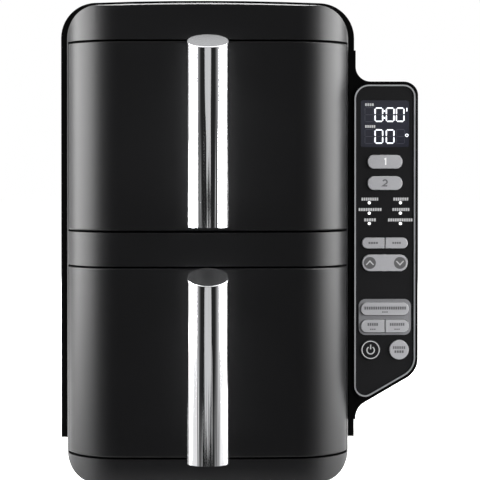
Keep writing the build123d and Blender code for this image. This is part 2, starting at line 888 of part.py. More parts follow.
def panel_pod():
    pod = push_back(wing_face(), wing_front, wing_root_back)
    inner = housing_half - housing_wall
    pod -= slab(0, inner, front_depth, wing_root_back + over, 0, housing_top)
    pod &= wing_plan(0)
    hollow_front = pocket_back + wing_shell
    right = wing_right - wing_shell
    hollow = make_face(Polyline(
        (inner - over, wing_slant_line(inner - over, wing_shell)),
        (right, wing_slant_line(right, wing_shell)),
        (right, wing_top - wing_shell), (inner - over, wing_top - wing_shell), close=True).edges())
    pod -= push_back(hollow, hollow_front, wing_root_back) & wing_plan(wing_shell)
    pod -= push_back(panel_profile(trim_inset - seat), wing_front - over, panel_back)
    pod -= push_back(panel_profile(trim_inset + ledge_width), panel_back - over, pocket_back)
    pod -= rod(wire_hole, panel_middle, display_z, pocket_back - over, hollow_front + over)
    for x, z in board_post_places():
        pod += rod(board_post, x, z, board_front + board_thickness, pocket_back)
    return pod


def board_post_places():
    x = field_width / 2 - board_post
    high = display_z + display_height / 2
    return [(panel_middle + sx, z) for sx in (-x, x) for z in (high, round_key_z + round_key_diameter)]


def panel_trim():
    ring = panel_profile(trim_inset) - panel_profile(trim_inset + trim_width)
    return push_back(ring, panel_front - trim_proud, panel_back)


# Keys: each is named with its outline and its place on the panel
def half_pill(width, height, corner, side):
    whole = RectangleRounded(width, height, corner)
    part = (width - key_split) / 2
    return whole & (Pos(side * (width - part) / 2, 0) * Rectangle(part, height))


def key_outlines():
    zone = RectangleRounded(zone_key_width, zone_key_height, zone_key_round)
    pill = mode_key_height / 2 - slip
    disc = Circle(round_key_diameter / 2)
    spread = round_key_spread / 2
    pair = (field_key_width, field_key_height, field_key_round)
    return {
        "zone_1_key": (zone, 0, zone_1_z),
        "zone_2_key": (zone, 0, zone_2_z),
        "temperature_key": (half_pill(pill_width, mode_key_height, pill, -1), 0, mode_z),
        "time_key": (half_pill(pill_width, mode_key_height, pill, 1), 0, mode_z),
        "whole_oven_key": (RectangleRounded(*pair), 0, field_wide_z),
        "sync_key": (half_pill(*pair, -1), 0, field_pair_z),
        "match_key": (half_pill(*pair, 1), 0, field_pair_z),
        "power_key": (disc, -spread, round_key_z),
        "start_key": (disc, spread, round_key_z),
    }


def key_place(x, z):
    return Pos(panel_middle + x, z)


def key(sketch, x, z):
    place = key_place(x, z)
    raised = field_thickness if abs(z - field_z) < field_height / 2 else 0
    front = panel_front - raised - key_proud
    shoulder = panel_back + seat
    cap = push_back(place * sketch, front, shoulder + key_flange_thickness)
    cap = fillet(cap.faces().sort_by(Axis.Y)[0].edges(), key_edge_round)
    box = sketch.bounding_box()
    middle = place * Pos(box.center().X, 0)
    flange = middle * Rectangle(key_flange_width, box.size.Y + 2 * key_flange_lap)
    cap += push_back(flange, shoulder, shoulder + key_flange_thickness)
    stem_end = board_front - tact_height - key_travel - seat
    return cap + push_back(middle * Circle(key_stem / 2), shoulder, stem_end)


def rocker_outline(grow):
    height = rocker_height + 2 * grow
    return Pos(panel_middle, rocker_z) * RectangleRounded(pill_width + 2 * grow, height, height / 2 - slip)


def rocker_pin_span():
    return rocker_height / 2 + rocker_clearance + rocker_ear


def arrow_rocker():
    back = panel_back + rocker_tail
    cap = push_back(rocker_outline(0), panel_front - key_proud, back)
    cap = fillet(cap.faces().sort_by(Axis.Y)[0].edges(), key_edge_round)
    axis = panel_front + rocker_pin_depth
    cap += slab(panel_middle - rocker_pin / 2, panel_middle + rocker_pin / 2, back - over / 2, axis,
                rocker_z - rocker_height / 2 + over, rocker_z + rocker_height / 2 - over)
    span = rocker_pin_span() - seat
    return cap + Pos(panel_middle, axis, rocker_z) * Cylinder(rocker_pin / 2, 2 * span)


def lamp_places():
    lamps = []
    for row in range(lamp_rows):
        z = lamp_top_z - row * lamp_pitch
        lamps += [(panel_middle + side * lamp_spread / 2, z) for side in (-1, 1)]
    return lamps


def panel_face():
    face = panel_profile(trim_inset + trim_width + seat)
    face -= key_place(0, display_z) * RectangleRounded(display_width, display_height, display_round)
    for sketch, x, z in key_outlines().values():
        face -= key_place(x, z) * offset(sketch, key_clearance)
    face -= rocker_outline(rocker_clearance)
    face -= [Pos(x, z) * Circle(lamp_diameter / 2 + running) for x, z in lamp_places()]
    plate = push_back(face, panel_front, panel_back)
    axis = panel_front + rocker_pin_depth
    half = rocker_ear_width / 2
    inner = rocker_height / 2 + rocker_clearance
    for z0, z1 in ((-rocker_pin_span(), -inner), (inner, rocker_pin_span())):
        plate += slab(panel_middle - half, panel_middle + half, panel_back, axis + rocker_pin,
                      rocker_z + z0, rocker_z + z1)
    bore = Cylinder(rocker_pin / 2 + running, 2 * rocker_pin_span() + over)
    return plate - Pos(panel_middle, axis, rocker_z) * bore


def display_window():
    corner = display_round - seat
    glass = RectangleRounded(display_width - 2 * seat, display_height - 2 * seat, corner)
    return push_back(key_place(0, display_z) * glass, panel_front, panel_back)


def display_module():
    block = Rectangle(display_width + 2 * display_lap, display_height + 2 * display_lap)
    return push_back(key_place(0, display_z) * block, panel_back, board_front)


def key_surround():
    plate = key_place(0, field_z) * RectangleRounded(field_width, field_height, field_round)
    for name in ("whole_oven_key", "sync_key", "match_key"):
        sketch, x, z = key_outlines()[name]
        plate -= key_place(x, z) * offset(sketch, key_clearance)
    return push_back(plate, panel_front - field_thickness, panel_front)


def indicator_lights():
    face = panel_front - lamp_proud
    return Compound([rod(lamp_diameter, x, z, face, board_front) for x, z in lamp_places()])


def control_board():
    profile = panel_profile(trim_inset + ledge_width + slip)
    board = push_back(profile, board_front, board_front + board_thickness)
    for sketch, x, z in key_outlines().values():
        middle = key_place(x + sketch.bounding_box().center().X, z)
        board += push_back(middle * Rectangle(tact_width, tact_width), board_front - tact_height, board_front)
    return board


def make_nodes():
    both = list(drawers.values())
    nodes = {
        "housing_shell": housing_shell(),
        "front_frame": front_frame(),
        "base_tray": base_tray(),
        "rear_cover": rear_cover(),
        "cover_screws": cover_screws(),
        "rubber_feet": rubber_feet(),
        "drawer_rails": drawer_rails(),
        "fan_guards": Compound([fan_guard(z) for z in both]),
        "heating_elements": Compound([heating_element(z) for z in both]),
        "temperature_sensors": Compound([temperature_sensor(z) for z in both]),
        "drawer_switches": Compound([drawer_switch(z) for z in both]),
        "motor_brackets": Compound([motor_bracket(z) for z in both]),
        "motor_cans": Compound([motor_can(z) for z in both]),
        "motor_stators": Compound([motor_stator(z) for z in both]),
        "motor_bearings": Compound([ring for z in both for ring in motor_bearing_pair(z)]),
        "power_board": power_board(),
        "cord_gland": cord_gland(),
        "panel_pod": panel_pod(),
        "panel_trim": panel_trim(),
        "panel_face": panel_face(),
        "display_window": display_window(),
        "display_module": display_module(),
        "key_surround": key_surround(),
        "indicator_lights": indicator_lights(),
        "control_board": control_board(),
        "arrow_rocker": arrow_rocker(),
    }
    for name, (sketch, x, z) in key_outlines().items():
        nodes[name] = key(sketch, x, z)
    for level, z in drawers.items():
        nodes[f"{level}_chamber"] = chamber_liner(z)
        nodes[f"{level}_drawer_front"] = drawer_front(z)
        nodes[f"{level}_drawer_backplate"] = drawer_backplate(z)
        nodes[f"{level}_drawer_pan"] = drawer_pan(z)
        nodes[f"{level}_crisper_plate"] = crisper_plate(z)
        nodes[f"{level}_crisper_feet"] = crisper_feet(z)
        nodes[f"{level}_handle_sleeve"] = handle_sleeve(z)
        nodes[f"{level}_handle_core"] = handle_core(z)
        nodes[f"{level}_handle_screws"] = handle_screws(z)
        nodes[f"{level}_motor_shaft"] = motor_shaft(z)
        nodes[f"{level}_fan_impeller"] = fan_impeller(z)
        nodes[f"{level}_cooling_fan"] = cooling_fan(z)
    return nodes


def main():
    os.makedirs("parts", exist_ok=True)
    for name, shape in make_nodes().items():
        export_step(to_row * shape, f"parts/{name}.step")


if __name__ == "__main__":
    main()
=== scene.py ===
import math

import bmesh
import bpy
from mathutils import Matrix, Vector


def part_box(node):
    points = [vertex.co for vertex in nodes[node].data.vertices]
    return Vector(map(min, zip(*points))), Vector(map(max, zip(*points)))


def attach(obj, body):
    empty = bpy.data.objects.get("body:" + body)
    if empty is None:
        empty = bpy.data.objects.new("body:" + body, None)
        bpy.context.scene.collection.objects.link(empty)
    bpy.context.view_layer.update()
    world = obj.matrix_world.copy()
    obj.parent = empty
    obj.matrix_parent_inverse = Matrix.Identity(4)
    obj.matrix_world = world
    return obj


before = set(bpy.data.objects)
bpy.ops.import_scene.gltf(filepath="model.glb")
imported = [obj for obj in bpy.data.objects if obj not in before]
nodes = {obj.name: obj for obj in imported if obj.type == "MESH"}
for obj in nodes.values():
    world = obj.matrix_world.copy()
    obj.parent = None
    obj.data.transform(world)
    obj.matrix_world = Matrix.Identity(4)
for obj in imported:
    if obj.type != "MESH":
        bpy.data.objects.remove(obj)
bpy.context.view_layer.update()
mm = 0.001


# Finishes
def hexColour(text):
    channels = [int(text[i:i + 2], 16) / 255 for i in (1, 3, 5)]
    linear = [c / 12.92 if c <= 0.04045 else ((c + 0.055) / 1.055) ** 2.4 for c in channels]
    return (*linear, 1.0)


def addNode(tree, kind, sockets=None, ramp=None, **settings):
    node = tree.nodes.new("ShaderNode" + kind)
    for name, value in settings.items():
        setattr(node, name, value)
    for name, value in (sockets or {}).items():
        if isinstance(value, bpy.types.NodeSocket):
            tree.links.new(value, node.inputs[name])
        else:
            node.inputs[name].default_value = value
    if ramp:
        for stop, (position, colour) in zip(node.color_ramp.elements, ramp):
            stop.position, stop.color = position, hexColour(colour)
    return node


# one entry for each material slot of the record, then the display's segments and the inks
# pattern: size of the surface's own figure along x, y and z in mm; bump: its depth in mm
finishes = {
    # ABS from a spark-eroded tool: deep matt black with a fine grit (0.3 mm, drawn at 0.8 to show)
    "housing_black": {
        "name": "spark textured ABS", "colours": ("#020202", "#050505"), "pattern": (0.8, 0.8, 0.8),
        "roughness": (0.82, 0.94), "specular": 0.03, "bump": 0.012},
    # ABS from a polished tool: satin black that draws the studio lights out into soft upright bands
    "front_black": {
        "name": "satin moulded ABS", "colours": ("#040405", "#070708"), "pattern": (1.2, 1.2, 1.2),
        "roughness": (0.39, 0.44), "specular": 0.17, "bump": 0.002},
    # glass-filled nylon: grey black, dull, with a faint flow figure
    "inner_black": {
        "name": "glass-filled nylon", "colours": ("#121213", "#1c1c1d"), "pattern": (3, 3, 9),
        "roughness": (0.5, 0.68), "specular": 0.3, "bump": 0.01},
    # chrome plate over a drawn tube: mirror bright, fine draw lines that show towards the low end
    "handle_chrome": {
        "name": "chrome plate", "colours": ("#d9dadc", "#e8e8ea"), "pattern": (0.9, 0.9, 70),
        "roughness": (0.05, 0.09), "metallic": 1.0, "bump": 0.0},
    # satin chrome on a moulded strip: soft silver line
    "trim_silver": {
        "name": "satin chrome", "colours": ("#d2d3d6", "#e4e5e8"), "pattern": (0.5, 0.5, 0.5),
        "roughness": (0.33, 0.43), "metallic": 1.0, "bump": 0.002},
    # polycarbonate film printed on its back: dark grey with a velvet face
    "panel_grey": {
        "name": "back-printed polycarbonate film", "colours": ("#171718", "#1b1b1c"),
        "pattern": (0.6, 0.6, 0.6), "roughness": (0.46, 0.56), "specular": 0.07, "bump": 0.004},
    # painted ABS key: pale warm grey, soft eggshell sheen
    "key_grey": {
        "name": "painted ABS key", "colours": ("#98989b", "#a3a3a6"), "pattern": (0.7, 0.7, 0.7),
        "roughness": (0.40, 0.50), "specular": 0.4, "bump": 0.003},
    # painted ABS plate: mid grey eggshell
    "key_field_grey": {
        "name": "painted ABS plate", "colours": ("#707073", "#7b7b7e"), "pattern": (0.7, 0.7, 0.7),
        "roughness": (0.42, 0.52), "specular": 0.4, "bump": 0.003},
    # smoked acrylic: blue-black, glossy, faintly cloudy where the lamps behind it glow
    "display_glass": {
        "name": "smoked acrylic", "colours": ("#20212a", "#282933"), "pattern": (14, 14, 14),
        "roughness": (0.10, 0.16), "specular": 0.3, "bump": 0.0},
    # diffusing polycarbonate light pipe: milk white, lit from the board behind
    "lamp_white": {
        "name": "diffusing polycarbonate", "colours": ("#eeeeee", "#fbfbfb"), "pattern": (1, 1, 1),
        "roughness": (0.35, 0.45), "glow": ("#ffffff", 0.8), "bump": 0.0},
    # sprayed ceramic non-stick on aluminium: charcoal with a fine light fleck
    "pan_coating": {
        "name": "ceramic non-stick", "colours": ("#1a1a1c", "#3a3a3d"), "figure": "fleck",
        "pattern": (2.2, 2.2, 2.2), "roughness": (0.34, 0.46), "specular": 0.45, "bump": 0.006},
    # aluminised steel sheet: grey metal with a cell-like spangle about 6 mm across
    "liner_steel": {
        "name": "aluminised steel", "colours": ("#8d8f92", "#adafb2"), "figure": "spangle",
        "pattern": (6, 6, 6), "roughness": (0.30, 0.42), "metallic": 1.0, "bump": 0.004},
    # nickel alloy heater sheath, heat-tinted: brown grey
    "heater_tube": {
        "name": "oxidised nickel alloy", "colours": ("#4a4440", "#6a625b"), "pattern": (8, 3, 8),
        "roughness": (0.38, 0.55), "metallic": 1.0, "bump": 0.004},
    # pressed aluminium fan: pale, rolled lines across it
    "fan_aluminium": {
        "name": "rolled aluminium", "colours": ("#b4b6b8", "#cbccce"), "pattern": (0.5, 0.5, 18),
        "roughness": (0.24, 0.36), "metallic": 1.0, "bump": 0.003},
    # ground stainless steel: bright, with grinding lines round the shaft
    "shaft_steel": {
        "name": "ground stainless steel", "colours": ("#a9a9a8", "#c2c2c0"), "pattern": (9, 0.4, 9),
        "roughness": (0.16, 0.26), "metallic": 1.0, "bump": 0.002},
    # phosphated steel: charcoal metal, crystal-dull
    "dark_steel": {
        "name": "phosphated steel", "colours": ("#2b2b2c", "#3d3d3e"), "pattern": (0.6, 0.6, 0.6),
        "roughness": (0.42, 0.56), "metallic": 1.0, "bump": 0.004},
    # zinc-plated motor can: blue-silver, patchy
    "motor_zinc": {
        "name": "zinc plate", "colours": ("#8f959b", "#b0b4b8"), "pattern": (5, 5, 5),
        "roughness": (0.28, 0.42), "metallic": 1.0, "bump": 0.002},
    # sintered bronze: dull gold, open-grained
    "bronze": {
        "name": "sintered bronze", "colours": ("#7d5a2e", "#9a7442"), "pattern": (0.4, 0.4, 0.4),
        "roughness": (0.42, 0.55), "metallic": 1.0, "bump": 0.006},
    # solder mask on glass epoxy: green with a woven shadow, 1.2 mm threads
    "board_green": {
        "name": "solder-masked glass epoxy", "colours": ("#123d22", "#1b5230"), "pattern": (1.2, 6, 1.2),
        "roughness": (0.30, 0.42), "specular": 0.5, "bump": 0.004},
    # moulded silicone rubber: soft black, dull
    "rubber": {
        "name": "moulded silicone rubber", "colours": ("#121212", "#1b1b1b"), "pattern": (0.9, 0.9, 0.9),
        "roughness": (0.62, 0.78), "specular": 0.3, "bump": 0.008},
    # white LED seen through the smoked window
    "lit_segment": {
        "name": "white LED segment", "colours": ("#e8e9f0", "#f4f4f8"), "pattern": (2, 2, 2),
        "roughness": (0.4, 0.5), "glow": ("#eef0fa", 0.72), "bump": 0.0},
    # the same segment unlit: a shade paler than the window
    "unlit_segment": {
        "name": "unlit LED segment", "colours": ("#3d3e48", "#454650"), "pattern": (2, 2, 2),
        "roughness": (0.2, 0.3), "specular": 0.3, "bump": 0.0},
    # screen inks, laid on in one pass: flat, with a slightly broken edge of tone
    "pale_ink": {
        "name": "pale screen ink", "colours": ("#b0b0b1", "#c0c0c1"), "pattern": (0.5, 0.5, 0.5),
        "roughness": (0.45, 0.55), "specular": 0.3, "bump": 0.001},
    "white_ink": {
        "name": "white screen ink", "colours": ("#e6e6e6", "#f4f4f4"), "pattern": (0.5, 0.5, 0.5),
        "roughness": (0.45, 0.55), "specular": 0.3, "bump": 0.001},
    "mid_ink": {
        "name": "mid grey screen ink", "colours": ("#525253", "#5a5a5b"), "pattern": (0.5, 0.5, 0.5),
        "roughness": (0.45, 0.55), "specular": 0.3, "bump": 0.001},
    "dark_ink": {
        "name": "dark grey screen ink", "colours": ("#5a5a5c", "#636365"), "pattern": (0.5, 0.5, 0.5),
        "roughness": (0.45, 0.55), "specular": 0.3, "bump": 0.001},
}

# draw lines on the chrome: none at the top of a handle, full at its foot
# real ones are finer and shallower than these, which are drawn to show
chromeLines = {"spacing": (2.0, 2.0, 300), "detail": 2.0, "contrast": (0.38, 0.62), "depth": 0.13,
               "blur": 0.02, "from": 0.75, "to": 0.10}
# slanted end of the tube: blasted before plating, so it shows a dull even grey
chromeEnd = {"colour": "#cfd0d2", "roughness": 0.27, "facing": (0.80, 0.90)}
# tone: shares of the fine figure and of a slow cloud, which keeps a large face from looking flat
# span is the part of the tone that runs from a finish's first colour to its second
# fleckEdge runs from a fleck's rim to its core, as shares of the pattern's size
tone = {"figure": 0.7, "figureDetail": 3.0, "fleckEdge": (0.28, 0.14), "span": (0.25, 0.75),
        "cloud": 0.3, "cloudDetail": 1.0, "cloudSize": 70}  # the size in mm


def makeFinish(slot, finish):
    material = bpy.data.materials.new(finish["name"])
    material.use_nodes = True
    tree = material.node_tree
    shader = tree.nodes["Principled BSDF"]
    coords = addNode(tree, "TexCoord")
    place = coords.outputs["Object"]
    scale = [1 / (size * mm) for size in finish["pattern"]]
    spread = addNode(tree, "Mapping", {"Vector": place, "Scale": scale}).outputs["Vector"]
    if finish.get("figure") == "spangle":
        figure = addNode(tree, "TexVoronoi", {"Vector": spread, "Scale": 1.0}).outputs["Color"]
    elif finish.get("figure") == "fleck":
        dots = addNode(tree, "TexVoronoi", {"Vector": spread, "Scale": 1.0}).outputs["Distance"]
        rim, core = tone["fleckEdge"]
        flecks = addNode(tree, "MapRange", {"Value": dots, "From Min": rim, "From Max": core})
        figure = flecks.outputs["Result"]
    else:
        grain = addNode(tree, "TexNoise", {"Vector": spread, "Scale": 1.0, "Detail": tone["figureDetail"]})
        figure = grain.outputs["Fac"]
    clouds = addNode(tree, "TexNoise", {"Vector": place, "Scale": 1 / (tone["cloudSize"] * mm),
                                        "Detail": tone["cloudDetail"]})
    cloud = clouds.outputs["Fac"]
    share = addNode(tree, "Math", {0: figure, 1: tone["figure"]}, operation="MULTIPLY").outputs[0]
    shade = addNode(tree, "Math", {0: cloud, 1: tone["cloud"], 2: share}, operation="MULTIPLY_ADD").outputs[0]
    first, last = tone["span"]
    dark, light = finish["colours"]
    colour = addNode(tree, "ValToRGB", {"Fac": shade}, ramp=((first, dark), (last, light)))
    tree.links.new(colour.outputs["Color"], shader.inputs["Base Color"])
    smooth, dull = finish["roughness"]
    rough = addNode(tree, "MapRange", {"Value": shade, "From Min": first, "From Max": last,
                                       "To Min": smooth, "To Max": dull})
    tree.links.new(rough.outputs["Result"], shader.inputs["Roughness"])
    shader.inputs["Metallic"].default_value = finish.get("metallic", 0.0)
    shader.inputs["Specular IOR Level"].default_value = finish.get("specular", 0.5)
    if "glow" in finish:
        shader.inputs["Emission Color"].default_value = hexColour(finish["glow"][0])
        shader.inputs["Emission Strength"].default_value = finish["glow"][1]
    height, depth = figure, finish["bump"]
    if slot == "handle_chrome":
        # the slanted end is told from the tube by the way it faces
        up = addNode(tree, "SeparateXYZ", {"Vector": coords.outputs["Normal"]}).outputs["Z"]
        low, high = chromeEnd["facing"]
        end = addNode(tree, "MapRange", {"Value": up, "From Min": low, "From Max": high}).outputs["Result"]
        grey = addNode(tree, "MixRGB", {"Fac": end, "Color1": colour.outputs["Color"],
                                        "Color2": hexColour(chromeEnd["colour"])})
        tree.links.new(grey.outputs["Color"], shader.inputs["Base Color"])
        scale = [1 / (size * mm) for size in chromeLines["spacing"]]
        spread = addNode(tree, "Mapping", {"Vector": place, "Scale": scale}).outputs["Vector"]
        streaks = addNode(tree, "TexNoise", {"Vector": spread, "Scale": 1.0, "Detail": chromeLines["detail"]})
        faint, full = chromeLines["contrast"]
        lines = addNode(tree, "MapRange", {"Value": streaks.outputs["Fac"],
                                           "From Min": faint, "From Max": full})
        rise = addNode(tree, "SeparateXYZ", {"Vector": coords.outputs["Generated"]}).outputs["Z"]
        mask = addNode(tree, "MapRange", {"Value": rise, "From Min": chromeLines["from"],
                                          "From Max": chromeLines["to"]}, interpolation_type="SMOOTHSTEP")
        height = addNode(tree, "Math", {0: lines.outputs["Result"], 1: mask.outputs["Result"]},
                         operation="MULTIPLY").outputs[0]
        depth = chromeLines["depth"]
        blur = addNode(tree, "Math", {0: height, 1: chromeLines["blur"], 2: rough.outputs["Result"]},
                       operation="MULTIPLY_ADD")
        blasted = addNode(tree, "Mix", {"Factor": end, "A": blur.outputs[0], "B": chromeEnd["roughness"]})
        tree.links.new(blasted.outputs["Result"], shader.inputs["Roughness"])
    if depth:
        bump = addNode(tree, "Bump", {"Height": height, "Strength": 1.0, "Distance": depth * mm})
        tree.links.new(bump.outputs["Normal"], shader.inputs["Normal"])
    return material


materials = {slot: makeFinish(slot, finish) for slot, finish in finishes.items()}
for node in nodes.values():
    node.data.materials[0] = materials[node.data.materials[0].name]
print("finishes:", len(materials), "materials on", len(nodes), "nodes")


# Marks printed on the panel and keys
ink = {"proud": 0.05, "sunk": 0.05}  # mm


def addPrism(mesh, outline, front, back):
    near = [mesh.verts.new((x * mm, front * mm, z * mm)) for x, z in outline]
    far = [mesh.verts.new((x * mm, back * mm, z * mm)) for x, z in outline]
    mesh.faces.new(near)
    mesh.faces.new(far)
    for i in range(len(outline)):
        mesh.faces.new((near[i - 1], near[i], far[i], far[i - 1]))


def addRing(mesh, outer, inner, front, back):
    loops = [[mesh.verts.new((x * mm, y * mm, z * mm)) for x, z in outline]
             for outline, y in ((outer, front), (inner, front), (inner, back), (outer, back))]
    for a, b in zip(loops, loops[1:] + loops[:1]):
        for i in range(len(outer)):
            mesh.faces.new((a[i - 1], a[i], b[i], b[i - 1]))


def printMarks(name, carrier, body, slot, outlines=(), rings=()):
    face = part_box(carrier)[0].y / mm
    front, back = face - ink["proud"], face + ink["sunk"]
    mesh = bmesh.new()
    for outline in outlines:
        addPrism(mesh, outline, front, back)
    for outer, inner in rings:
        addRing(mesh, outer, inner, front, back)
    bmesh.ops.recalc_face_normals(mesh, faces=mesh.faces)
    data = bpy.data.meshes.new(name)
    mesh.to_mesh(data)
    mesh.free()
    data.materials.append(materials[slot])
    piece = bpy.data.objects.new(name, data)
    bpy.context.scene.collection.objects.link(piece)
    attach(piece, body)
    return piece


def bar(left, right, low, high):
    return [(left, low), (right, low), (right, high), (left, high)]


def arc(x, z, radius, start, end, steps):
    turns = [math.radians(start + (end - start) * i / steps) for i in range(steps + 1)]
    return [(x + radius * math.cos(t), z + radius * math.sin(t)) for t in turns]


def circle(x, z, radius, steps=48):
    return arc(x, z, radius, 0, 360, steps)[:-1]


mitreLimit = 0.4  # keeps a sharp turn of a stroke from growing a spike


def stroke(path, width):
    sides = ([], [])
    for i, point in enumerate(path):
        before = Vector(path[max(i - 1, 0)])
        after = Vector(path[min(i + 1, len(path) - 1)])
        here = Vector(point)
        steps = [s.normalized() for s in (here - before, after - here) if s.length > 0]
        along = sum(steps, Vector((0, 0))).normalized()
        reach = width / 2 / max(along.dot(steps[0]), mitreLimit)
        across = Vector((-along.y, along.x)) * reach
        sides[0].append(tuple(here + across))
        sides[1].append(tuple(here - across))
    return sides[0] + sides[1][::-1]


def middle(node):
    low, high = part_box(node)
    return (low.x + high.x) / 2 / mm, (low.z + high.z) / 2 / mm


# display: two rows of seven-segment figures, places in mm from the middle of the window
display = {
    "figureWidth": 7.2, "figureHeight": 11.8, "stroke": 1.1, "gap": 0.3, "ghostStroke": 0.45,
    "timeRow": 7.3, "heatRow": -10.3,
    "lit": ((-4.9, "timeRow"), (4.2, "timeRow"), (12.3, "timeRow"), (-4.9, "heatRow"), (4.2, "heatRow")),
    "unlit": ((-12.8, "timeRow"), (-12.8, "heatRow"), (12.5, "heatRow")),
    "colon": {"x": -0.4, "rows": (10.2, 4.7), "size": 1.4, "steps": 16},
    "degree": {"x": 17.7, "z": -9.3, "outer": 1.35, "inner": 0.75, "steps": 24},
    "tick": {"x": 17.7, "z": 11.4, "width": 0.9, "height": 2.9},
    "captions": ((-16.0, -9.2, 15.4), (-16.0, -7.9, -2.2)), "captionHeight": 2.1,
}


def segments(x, z, which, thickness):
    width, height, gap = (display[k] for k in ("figureWidth", "figureHeight", "gap"))
    thick = display[thickness]
    half = thick / 2
    left, right = x - (width - thick) / 2, x + (width - thick) / 2
    rows = {"top": z + (height - thick) / 2, "mid": z, "low": z - (height - thick) / 2}
    shapes = []
    for row in ("top", "mid", "low"):
        if row in which:
            a, b, y = left + gap, right - gap, rows[row]
            shapes.append([(a, y), (a + half, y - half), (b - half, y - half),
                           (b, y), (b - half, y + half), (a + half, y + half)])
    if "sides" in which:
        for side in (left, right):
            for low, high in (("low", "mid"), ("mid", "top")):
                a, b = rows[low] + gap, rows[high] - gap
                shapes.append([(side, a), (side + half, a + half), (side + half, b - half),
                               (side, b), (side - half, b - half), (side - half, a + half)])
    return shapes


def figures(places, which, thickness):
    return [shape for x, row in places for shape in segments(x, display[row], which, thickness)]


# captions stand as rows of plain blocks, one block for a letter's width
blocks = {"width": 1.35, "gap": 0.45}


def caption(left, right, z, height):
    gap = blocks["gap"]
    count = max(2, round((right - left + gap) / (blocks["width"] + gap)))
    pitch = (right - left + gap) / count
    low, high = z - height / 2, z + height / 2
    return [bar(left + i * pitch, left + (i + 1) * pitch - gap, low, high) for i in range(count)]


def moved(outlines, x, z):
    return [[(x + px, z + pz) for px, pz in outline] for outline in outlines]


dx, dz = middle("display_window")
lit = figures(display["lit"], ("top", "low", "sides"), "stroke")
unlit = figures(display["unlit"], ("top", "mid", "low", "sides"), "ghostStroke")
unlit += figures(display["lit"], ("mid",), "ghostStroke")
colon = display["colon"]
lit += [circle(colon["x"], z, colon["size"] / 2, colon["steps"]) for z in colon["rows"]]
tick = display["tick"]
lit.append(bar(tick["x"] - tick["width"] / 2, tick["x"] + tick["width"] / 2,
               tick["z"] - tick["height"] / 2, tick["z"] + tick["height"] / 2))
labels = []
for left, right, z in display["captions"]:
    labels += caption(left, right, z, display["captionHeight"])
degree = display["degree"]
degreeX, degreeZ = dx + degree["x"], dz + degree["z"]
degreeRing = [circle(degreeX, degreeZ, degree[edge], degree["steps"]) for edge in ("outer", "inner")]
printMarks("display_lit_segments", "display_window", "body", "lit_segment", moved(lit, dx, dz), [degreeRing])
printMarks("display_unlit_segments", "display_window", "body", "unlit_segment", moved(unlit, dx, dz))
printMarks("display_captions", "display_window", "body", "pale_ink", moved(labels, dx, dz))
print("display: figures set")

# lamp captions: left and right ends in mm from the display's middle, rise in mm above the lamp
lampCaptions = {
    "height": 2.4, "rise": 2.95, "lampRadius": 1.2,
    "rows": (((-18.9, -5.4), (6.9, 18.9)), ((-21.2, -2.8), (6.1, 19.8)), ((-16.7, -7.4), (2.6, 22.4))),
}
lampLow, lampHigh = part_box("indicator_lights")
lampTop = lampHigh.z / mm - lampCaptions["lampRadius"]
lampBottom = lampLow.z / mm + lampCaptions["lampRadius"]
lastRow = len(lampCaptions["rows"]) - 1
captions = []
for i, row in enumerate(lampCaptions["rows"]):
    z = lampTop + (lampBottom - lampTop) * i / lastRow + lampCaptions["rise"]
    for left, right in row:
        captions += caption(dx + left, dx + right, z, lampCaptions["height"])
printMarks("lamp_captions", "panel_face", "body", "pale_ink", captions)

# zone keys: the figures 1 and 2, their shapes as shares of half a figure's width and height
zoneFigures = {
    "height": 5.2, "width": 3.6, "stroke": 1.15,
    "one": ((-0.35, 0.78), (0.28, 1.0), (0.28, -1.0)),
    "bowl": 0.92, "bowlTurn": (160, -38), "bowlSteps": 14, "footStart": -0.95,  # the turn in degrees
    "footRise": 0.4,  # mm
}
halfWidth, halfHeight = zoneFigures["width"] / 2, zoneFigures["height"] / 2
one = [(px * halfWidth, pz * halfHeight) for px, pz in zoneFigures["one"]]
bowl = halfWidth * zoneFigures["bowl"]
foot = zoneFigures["footRise"] - halfHeight
two = arc(0, halfHeight - bowl, bowl, *zoneFigures["bowlTurn"], zoneFigures["bowlSteps"])
two += [(halfWidth * zoneFigures["footStart"], foot), (halfWidth, foot)]
for zone, path, slot in (("zone_1", one, "white_ink"), ("zone_2", two, "dark_ink")):
    mark = moved([stroke(path, zoneFigures["stroke"])], *middle(f"{zone}_key"))
    printMarks(f"{zone}_figure", f"{zone}_key", f"{zone}_button", slot, mark)

# captions on the grey keys: ink, left end, right end and rise from the key's middle, and height, in mm
keyCaptions = {
    "temperature_key": (("dark_ink", -3.9, 3.7, 0.1, 1.6),),
    "time_key": (("dark_ink", -3.4, 3.4, 0.1, 1.6),),
    "whole_oven_key": (("dark_ink", -16.6, 17.0, 0.7, 2.4), ("mid_ink", -2.3, 2.3, -2.5, 0.9)),
    "sync_key": (("dark_ink", -4.2, 4.2, 1.4, 2.3), ("mid_ink", -2.2, 2.2, -2.5, 0.9)),
    "match_key": (("dark_ink", -5.9, 5.9, 1.4, 2.3), ("mid_ink", -2.2, 2.2, -2.5, 0.9)),
    "start_key": (("dark_ink", -5.0, 5.0, 1.8, 2.2), ("mid_ink", -3.7, 3.7, -1.5, 2.0)),
}
for key, rows in keyCaptions.items():
    x, z = middle(key)
    for row, (slot, left, right, rise, height) in enumerate(rows):
        marks = caption(x + left, x + right, z + rise, height)
        printMarks(f"{key}_caption_{row + 1}", key, key.replace("_key", "_button"), slot, marks)

